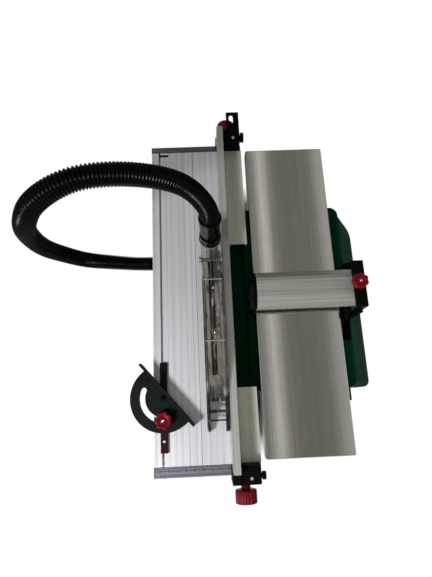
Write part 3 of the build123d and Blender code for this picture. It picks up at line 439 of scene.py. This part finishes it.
def nurbs_line(name, points):
    """The points along a smooth spline through the route's control points."""
    curve = bpy.data.curves.new(name, "CURVE")
    curve.dimensions = "3D"
    curve.resolution_u = 48
    spline = curve.splines.new("NURBS")
    spline.points.add(len(points) - 1)
    for control, point in zip(spline.points, points):
        control.co = (*point, 1)
    spline.order_u = 3
    spline.use_endpoint_u = True
    made = bpy.data.objects.new(name, curve)
    bpy.context.collection.objects.link(made)
    line = [v.co.copy() for v in bpy.data.meshes.new_from_object(made).vertices]
    bpy.data.objects.remove(made)
    return line


def evenly(line, step):
    """Points one step apart along a line, its last point included, and the line's length."""
    points, walked, due = [line[0]], 0.0, step
    for a, b in zip(line, line[1:]):
        run = (b - a).length
        while run > 0 and due <= walked + run:
            points.append(a.lerp(b, (due - walked) / run))
            due += step
        walked += run
    points.append(line[-1])
    return points, walked


def corrugation(distance, length):
    """Outer radius of the hose: rounded crests and narrower valleys, plain inside the cuffs."""
    if distance < PLAIN_END or distance > length - PLAIN_END:
        return HOSE_R - PLAIN_INSET
    wave = 0.5 - 0.5 * cos(2 * pi * distance / HOSE_PITCH)
    return HOSE_R - HOSE_GROOVE + HOSE_GROOVE * wave ** 0.7


def make_hose():
    line = nurbs_line("hose_line", HOSE_ROUTE)
    points, length = evenly(line, HOSE_STEP)
    angles = [2 * pi * i / HOSE_SIDES for i in range(HOSE_SIDES)]
    side = X.copy()
    rings = []
    for k, point in enumerate(points):
        ahead = (points[min(k + 1, len(points) - 1)] - points[max(k - 1, 0)]).normalized()
        side = (side - side.dot(ahead) * ahead).normalized()
        other = ahead.cross(side)
        r = corrugation(k * HOSE_STEP, length)
        rings.append([point + r * (cos(a) * side + sin(a) * other) for a in angles])
    bm = bmesh.new()
    add_rings(bm, rings)
    hose = piece("corrugated_hose", None, "hose_plastic", bm, replaces=["dust_hose"])
    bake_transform(hose)


CUFF_SIDES = 48
CUFF_BORE = 0.0212
ROLLED_END = [(CUFF_BORE, -0.003), (0.0240, -0.003), (0.0246, -0.0015), (0.0240, 0.0)]
THUMB_RIM = [(0.0238, 0.001), (0.0250, 0.001), (0.0256, 0.003), (0.0250, 0.006), (0.0238, 0.007)]
UPPER_FOOT_Y = 0.075


def cuff_details():
    """Rolled ends on both smooth cuffs and a thumb rim at the foot of the upper one."""
    low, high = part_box("hose_cuff_upper")
    hose_x, hose_y = HOSE_ROUTE[0][:2]
    bm = bmesh.new()
    rim = ROLLED_END + [(0.0228, 0.0012), (CUFF_BORE, 0.0012)]
    add_lathe(bm, frame_on(Z, (hose_x, hose_y, high.z)), rim, CUFF_SIDES)
    add_lathe(bm, frame_on(Z, (hose_x, UPPER_FOOT_Y, low.z)), THUMB_RIM, CUFF_SIDES)
    piece("upper_cuff_rims", "hood", "hose_plastic", bm)
    hose_y, hose_z = HOSE_ROUTE[-1][1:]
    end = frame_on(-X, (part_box("hose_cuff_lower")[0].x, hose_y, hose_z))
    bm = bmesh.new()
    add_lathe(bm, end, ROLLED_END + [(CUFF_BORE, 0.0012)], CUFF_SIDES)
    piece("lower_cuff_rim", "base", "hose_plastic", bm)


make_hose()
cuff_details()


# ---- knobs ----
def fluted(flutes, depth):
    """Round-bottomed grooves between broad lands."""
    def factor(angle):
        return 1.0 - depth * max(0.0, cos(flutes * angle)) ** 4
    return factor


def lobed(lobes, depth):
    """Rounded lobes with narrow hollows between them."""
    def factor(angle):
        return 1.0 - depth * (0.5 - 0.5 * cos(lobes * angle)) ** 1.5
    return factor


def only_rim(factor, least):
    """Leaves the middle of the face and the neck round."""
    def wobble(angle, r):
        return factor(angle) if r > least else 1.0
    return wobble


def knob_profile(r, height, neck_r, neck):
    """Ringed face, rounded rim, wall, rounded back and neck, from the outer face downwards."""
    cap = 0.35
    e = 0.12 * r
    ringed_face = [(0.001, -0.0003), (cap * r, -0.0003), ((cap + 0.04) * r, -0.0012),
                   ((cap + 0.1) * r, -0.0012), ((cap + 0.14) * r, -0.0003)]
    rim = [(r - e, 0.0), (r - 0.5 * e, -0.15 * e), (r - 0.12 * e, -0.5 * e), (r, -e)]
    back = [(r, -height + e), (r - 0.2 * e, -height + 0.4 * e), (r - e, -height)]
    stem = [(neck_r + 0.001, -height), (neck_r, -height - 0.001), (neck_r, -height - neck),
            (0.001, -height - neck)]
    return ringed_face + rim + back + stem


def outer_face(node, body, axis):
    """Where the knob's axis comes out of its outer face."""
    origin = Vector(JOINTS[body + "_turn"]["pos_m"])
    reach = max(corner.dot(axis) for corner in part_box(node))
    return origin + axis * (reach - origin.dot(axis))


RED_SIDES, BLACK_SIDES = 160, 96
FINE_FLUTES = only_rim(fluted(20, 0.1), 0.02)
REAR_FLUTES = only_rim(fluted(20, 0.1), 0.018)
SEVEN_LOBES = only_rim(lobed(7, 0.13), 0.013)
KNOBS = (
    ("front_clamp_grip", "fence_knob_front", "front_clamp", -Y, (0.025, 0.030, 0.011, 0.020), FINE_FLUTES),
    ("rear_clamp_grip", "fence_knob_rear", "rear_clamp", Y, (0.023, 0.028, 0.011, 0.035), REAR_FLUTES),
    ("mitre_clamp_grip", "mitre_knob", "mitre_clamp", Z, (0.020, 0.017, 0.009, 0.006), SEVEN_LOBES),
    ("bridge_clamp_grip", "bridge_knob", "bridge_clamp", Z, (0.019, 0.016, 0.008, 0.008), SEVEN_LOBES))
SMALL_KNOBS = (
    ("front_side_grip", "fence_side_knob_front", "front_side_clamp", X, (0.009, 0.009, 0.005, 0.002), 0.007),
    ("rear_side_grip", "fence_side_knob_rear", "rear_side_clamp", X, (0.013, 0.009, 0.005, 0.002), 0.010),
    ("height_grip", "guard_height_knob", "height_clamp", Y, (0.012, 0.012, 0.006, 0.003), 0.009))


def knob(name, node, body, axis, sizes, wobble, slot, sides):
    """A grip on its joint's axis, in place of the plain one."""
    bm = bmesh.new()
    add_lathe(bm, frame_on(axis, outer_face(node, body, axis)), knob_profile(*sizes), sides, wobble)
    piece(name, body, slot, bm, replaces=[node])


SCREW_SINK = 0.0006          # how far a knob's screw is let into its face


def knob_screws():
    """The small screw in the middle of the faces of the mitre, bridge and front fence knobs."""
    for name, body, axis, node in (("mitre_knob_screw", "mitre_clamp", Z, "mitre_knob"),
                                   ("bridge_knob_screw", "bridge_clamp", Z, "bridge_knob"),
                                   ("front_knob_screw", "front_clamp", -Y, "fence_knob_front")):
        screws(name, body, [outer_face(node, body, axis) - axis * SCREW_SINK], 0.0038, axis)


for row in KNOBS:
    knob(*row, "red_plastic", RED_SIDES)
for name, node, body, axis, knob_sizes, least in SMALL_KNOBS:
    knob(name, node, body, axis, knob_sizes, only_rim(fluted(12, 0.1), least), "black_plastic", BLACK_SIDES)
knob_screws()


# ---- scales, caps and screws on the saw table ----
SCALE_START = 0.012          # zero of the scale, from the rail's left end
SCALE_LENGTH_MM = 226
INK_LIFT = 0.00015           # ink stands this far above the metal
TICK_HALF = 0.00022
TICK_INSET = 0.003
LONG_TICK = 0.009
SHORT_TICK = 0.0048
LINE_INSETS = (0.0145, 0.0205)
LINE_HALF = 0.0004
DIGIT_SIZE = 0.008
DIGIT_INSET = 0.0125


def scale_lines(name, edge, way):
    """Ticks every two millimetres, longer at each ten, and two lines along the rail."""
    low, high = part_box("guide_rails")
    top = high.z + INK_LIFT
    bm = bmesh.new()
    for k in range(0, SCALE_LENGTH_MM, 2):
        x = low.x + SCALE_START + 0.001 * k
        reach = LONG_TICK if k % 10 == 0 else SHORT_TICK
        y0, y1 = sorted((edge + way * TICK_INSET, edge + way * (TICK_INSET + reach)))
        add_flat(bm, x - TICK_HALF, x + TICK_HALF, y0, y1, top)
    for inset in LINE_INSETS:
        y = edge + way * inset
        add_flat(bm, low.x, high.x, y - LINE_HALF, y + LINE_HALF, top)
    piece("rail_scale_" + name, "saw_table", "black_plastic", bm, finish=INK_AND_GAP_SHADOW, smooth=False)


def scale_number(centimetre):
    """A plain printed number beside its long tick on the front rail."""
    low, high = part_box("guide_rails")
    name = "rail_number_%d" % centimetre
    digits = bpy.data.curves.new(name, "FONT")
    digits.body = str(centimetre)
    digits.size = DIGIT_SIZE
    digits.align_x = "CENTER"
    number = bpy.data.objects.new(name, digits)
    bpy.context.collection.objects.link(number)
    mesh = bpy.data.meshes.new_from_object(number)
    bpy.data.objects.remove(number)
    for v in mesh.vertices:
        v.co += Vector((low.x + SCALE_START + 0.01 * centimetre, low.y + DIGIT_INSET, high.z + INK_LIFT))
    made = bpy.data.objects.new(name, mesh)
    bpy.context.collection.objects.link(made)
    mesh.materials.clear()
    mesh.materials.append(INK_AND_GAP_SHADOW)
    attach(made, "saw_table")


def rail_scales():
    low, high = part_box("guide_rails")
    scale_lines("front", low.y, 1)
    scale_lines("rear", high.y, -1)
    for centimetre in range(0, 23, 2):
        scale_number(centimetre)


SEAM_X0, SEAM_X1 = -0.2061, -0.2052
FENCE_SIDE_X = -0.1385
GAP_NEAR, GAP_FAR = 0.0002, 0.0022
CAP_LIP = 0.0002             # how far the end caps stand past the rails
CAP_THICK = 0.0022
PLUG_X0, PLUG_X1 = -0.297, -0.271
PLUG_Y0, PLUG_Y1 = 0.3635, 0.3695
BAR_SCREW_X = -0.2915
BAR_TOP = 0.0063             # top of the mitre bar above the table
PIVOT_X, PIVOT_Y = -0.291, -0.277
RAIL_SCREW_XS = (-0.296, -0.212, -0.09)
RAIL_SCREW_LIFT = 0.008
BRACKET_SCREWS = ((-0.098, -0.456, 0.332), (-0.094, 0.390, 0.332))


def table_seams():
    """The joint between the table's two extrusions, and painted shadow in the gaps between the table's ends and
    the rails.
    """
    low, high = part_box("saw_table_main")
    bm = bmesh.new()
    add_flat(bm, SEAM_X0, SEAM_X1, low.y + 0.0005, high.y - 0.0005, high.z + 0.00012)
    piece("table_seam", "saw_table", "black_plastic", bm, finish=INK_AND_GAP_SHADOW, smooth=False)
    rail_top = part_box("guide_rails")[1].z + 0.0002
    # Painted shadow: dark lines on the rails where the gaps to the table's ends fall in shade.
    bm = bmesh.new()
    add_flat(bm, low.x, FENCE_SIDE_X, low.y - GAP_FAR, low.y - GAP_NEAR, rail_top)
    add_flat(bm, low.x, FENCE_SIDE_X, high.y + GAP_NEAR, high.y + GAP_FAR, rail_top)
    piece("rail_gap_shadows", "saw_table", "black_plastic", bm, finish=INK_AND_GAP_SHADOW, smooth=False)


def table_trim():
    """End caps and screws of the rails, the plug at the back of the mitre slot, and the bar's screws."""
    low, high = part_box("guide_rails")
    table_low, table_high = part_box("saw_table_main")
    bm = bmesh.new()
    for y0, y1 in ((low.y, table_low.y - 0.0005), (table_high.y + 0.0005, high.y)):
        add_block(bm, (low.x - CAP_THICK, y0 - CAP_LIP, low.z - CAP_LIP),
                  (low.x + CAP_LIP, y1 + CAP_LIP, high.z + CAP_LIP), 0.0008)
    piece("rail_caps", "saw_table", "black_plastic", bm)
    bm = bmesh.new()
    add_block(bm, (PLUG_X0, PLUG_Y0, table_high.z - 0.001), (PLUG_X1, PLUG_Y1, table_high.z + 0.0016), 0.0007)
    piece("slot_plug", "saw_table", "black_plastic", bm, finish=SLOT_DARK)
    bar_low, bar_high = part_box("mitre_bar")
    bar_screw = (BAR_SCREW_X, bar_low.y + 0.026, table_high.z + BAR_TOP)
    screws("bar_screw", "mitre_slide_bar", [bar_screw], 0.0042, Z)
    screws("pivot_screw", "mitre_slide_bar", [(PIVOT_X, PIVOT_Y, bar_high.z)], 0.0048, Z, "black_plastic")
    screw_z = (low.z + high.z) / 2 + RAIL_SCREW_LIFT
    screws("front_rail_screws", "saw_table", [(x, low.y, screw_z) for x in RAIL_SCREW_XS], 0.004, -Y)
    screws("rear_rail_screws", "saw_table", [(x, high.y, screw_z) for x in RAIL_SCREW_XS], 0.004, Y)


rail_scales()
table_seams()
table_trim()
screws("bracket_screws", "rip_fence", BRACKET_SCREWS, 0.0042, Z)


# ---- blade guard trim ----
STRIP_FRONT_Y, STRIP_BACK_Y = -0.282, 0.018
STRIP_WIDTH = 0.0018
RIB_YS = (-0.159, -0.017)
RIB_HALF = 0.0012
RIB_Z0, RIB_Z1 = 0.3885, 0.3901
RIVET_X, RIVET_Z = -0.1655, 0.3862
RIVET_YS = (-0.140, -0.036)
ROOF_LINE = ((-0.2895, 0.3521), (-0.190, 0.3861), (0.036, 0.3861))
ROOF_SECTION = ((0, 0), (0.0007, 0), (0.0007, 0.0005), (0, 0.0005))


def guard_trim():
    """Dark edge lines, cross ribs, roof lines and rivets of the clear guard."""
    low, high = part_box("blade_guard")
    bm = bmesh.new()
    for x in (low.x + 0.0004, high.x - 0.0022):
        add_block(bm, (x, STRIP_FRONT_Y, 0.2945), (x + STRIP_WIDTH, STRIP_BACK_Y, 0.2975), 0.0005)
        add_block(bm, (x, STRIP_FRONT_Y, 0.2990), (x + STRIP_WIDTH, -0.2795, 0.3505), 0.0)
    piece("guard_edge_strips", "hood", "black_plastic", bm)
    bm = bmesh.new()
    for y in RIB_YS:
        add_block(bm, (low.x + 0.004, y - RIB_HALF, RIB_Z0), (high.x - 0.004, y + RIB_HALF, RIB_Z1), 0.0005)
    piece("guard_ribs", "hood", "clear_plastic", bm, finish=RIB_GREY)
    bm = bmesh.new()
    for x in (low.x + 0.0065, low.x + 0.0165, high.x - 0.0135, high.x - 0.0055):
        add_rings(bm, [[(x + dx, y, z + dz) for dx, dz in ROOF_SECTION] for y, z in ROOF_LINE])
    piece("guard_roof_lines", "hood", "black_plastic", bm, smooth=False)
    screws("guard_rivets", "hood", [(RIVET_X, y, RIVET_Z) for y in RIVET_YS], 0.003, Z)


guard_trim()


# ---- stage ----
FLOOR_HALF = 8
SHADE_SPANS = (("X", -0.085, 0.25), ("Y", -0.015, 0.435))    # middle and half width of the dark patch
OVERHEAD = 3.2


def floor_material():
    """White to the camera, dark under the machine where no light gets in, and dim to everything else."""
    s = Shade("pale floor", Roughness=0.9, Emission_Color=(1, 1, 1, 1), Emission_Strength=0.12)
    s.finish(s.ramp(s.noise((3, 3, 3)), (0.3, 0.66), (0.7, 0.7)))
    reaches = []
    for axis, middle, half in SHADE_SPANS:
        offset = s.math("DIVIDE", s.math("SUBTRACT", s.axis(axis), middle), half)
        reaches.append(s.math("ABSOLUTE", offset, 0.0))
    reach = s.math("MAXIMUM", *reaches)
    backdrop = s.node("ShaderNodeEmission", Strength=1.0)
    s.link(s.ramp(reach, (0.66, 0.015), (0.85, 0.1), (1.0, 1.0)), backdrop.inputs["Color"])
    seen = s.node("ShaderNodeLightPath").outputs["Is Camera Ray"]
    return s.surface(seen, s.main.outputs["BSDF"], backdrop.outputs["Emission"])


def make_stage():
    bm = bmesh.new()
    add_flat(bm, -FLOOR_HALF, FLOOR_HALF, -FLOOR_HALF, FLOOR_HALF, 0)
    mesh = bpy.data.meshes.new("floor")
    bm.to_mesh(mesh)
    bm.free()
    floor = bpy.data.objects.new("floor", mesh)
    bpy.context.collection.objects.link(floor)
    mesh.materials.append(floor_material())


def area_light(name, at, target, width, height, power, colour=(1, 1, 1)):
    data = bpy.data.lights.new(name, "AREA")
    data.shape = "RECTANGLE"
    data.size = width
    data.size_y = height
    data.energy = power
    data.color = colour
    light = bpy.data.objects.new(name, data)
    bpy.context.collection.objects.link(light)
    light.location = at
    light.rotation_mode = "QUATERNION"
    light.rotation_quaternion = (Vector(target) - Vector(at)).to_track_quat("-Z", "Y")


def overhead_light(name, x, y, width, height, power, colour=(1, 1, 1)):
    """A panel that looks straight down, to be mirrored in the tables."""
    area_light(name, (x, y, OVERHEAD), (x, y, 0), width, height, power, colour)


def make_world():
    """Soft light for the machine and plain white behind it."""
    world = bpy.data.worlds.new("world")
    bpy.context.scene.world = world
    world.use_nodes = True
    nodes, links = world.node_tree.nodes, world.node_tree.links
    soft = nodes["Background"]
    soft.inputs["Color"].default_value = (1.0, 0.99, 0.9, 1)
    soft.inputs["Strength"].default_value = 0.17
    backdrop = nodes.new("ShaderNodeBackground")
    backdrop.inputs["Color"].default_value = (1, 1, 1, 1)
    backdrop.inputs["Strength"].default_value = 1.0
    seen = nodes.new("ShaderNodeMixShader")
    links.new(nodes.new("ShaderNodeLightPath").outputs["Is Camera Ray"], seen.inputs["Fac"])
    links.new(soft.outputs["Background"], seen.inputs[1])
    links.new(backdrop.outputs["Background"], seen.inputs[2])
    links.new(seen.outputs["Shader"], nodes["World Output"].inputs["Surface"])


def make_lights():
    overhead_light("overhead_front", -0.435, -0.425, 0.83, 1.55, 3.2, (0.96, 0.96, 1.0))
    overhead_light("overhead_rear", -0.435, 0.825, 0.83, 0.95, 0.35, (0.95, 1.0, 0.75))
    overhead_light("bed_strip", 0.41, 0.7, 0.07, 3.8, 0.62)
    overhead_light("bed_edge", 1.10, 0.7, 0.28, 3.8, 0.9)
    area_light("key", (-1.3, -1.1, 2.0), (-0.1, 0, 0.25), 0.4, 0.4, 55)
    area_light("left", (-3.0, 1.2, 1.6), (0, 0, 0.2), 1.6, 1.6, 3)
    area_light("right", (2.8, -0.6, 1.8), (0, 0, 0.2), 1.8, 1.8, 9)
    area_light("front", (0.4, -3.0, 1.6), (0, 0, 0.2), 1.8, 1.4, 6)


make_stage()
make_world()
make_lights()
